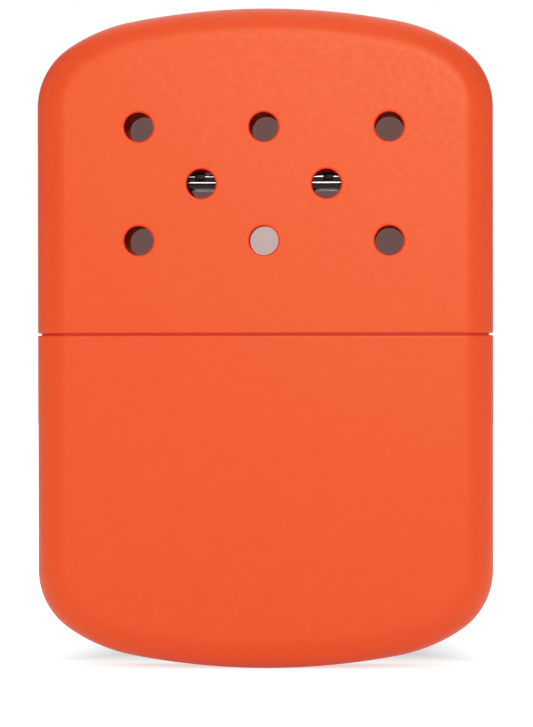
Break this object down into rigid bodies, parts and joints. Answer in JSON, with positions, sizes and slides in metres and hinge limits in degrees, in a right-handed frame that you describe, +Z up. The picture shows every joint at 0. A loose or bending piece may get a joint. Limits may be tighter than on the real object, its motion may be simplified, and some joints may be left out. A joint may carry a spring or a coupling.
{
  "type": "catalytic hand warmer",
  "caption": "Flat pocket hand warmer: a vented painted lid pulls up off a fuel tank whose filler neck carries a catalytic burner.",
  "frame": {"origin": "bottom centre of the closed hand warmer", "axes": "+Z up from the tank to the lid, -Y out of the front face, +X to the right seen from the front"},
  "size_m": [0.067, 0.013, 0.097],
  "materials": {
    "case_paint": "satin orange powder coat with a faint orange-peel texture",
    "bright_metal": "bright plated sheet",
    "burner_metal": "bright plated sheet, finely brushed",
    "screen_steel": "perforated stainless sheet",
    "strap_steel": "heat-darkened spring steel",
    "catalyst_fibre": "platinum-coated glass-fibre mat",
    "wick_felt": "pressed felt",
    "wadding": "loose cotton wadding",
    "seal": "pressed fibre seal"
  },
  "bodies": {
    "tank": {"lower_case": "case_paint", "tank_can": "bright_metal", "tank_top": "bright_metal", "neck_seal": "seal", "filler_neck": "bright_metal", "wick": "wick_felt", "wick_screen": "screen_steel", "felt_pad": "wick_felt", "wadding_front": "wadding", "wadding_middle": "wadding", "wadding_back": "wadding"},
    "burner": {"burner_front": "burner_metal", "burner_back": "burner_metal", "burner_socket": "burner_metal", "pad_support": "screen_steel", "catalyst_pad": "catalyst_fibre", "pad_straps": "strap_steel"},
    "lid": {"lid": "case_paint"}
  },
  "joints": [
    {"name": "lid_slide", "type": "slide", "parent": "tank", "child": "lid", "axis": [0, 0, 1], "range_m": [0, 0.05]},
    {"name": "burner_slide", "type": "slide", "parent": "tank", "child": "burner", "axis": [0, 0, 1], "range_m": [0, 0.009]}
  ]
}
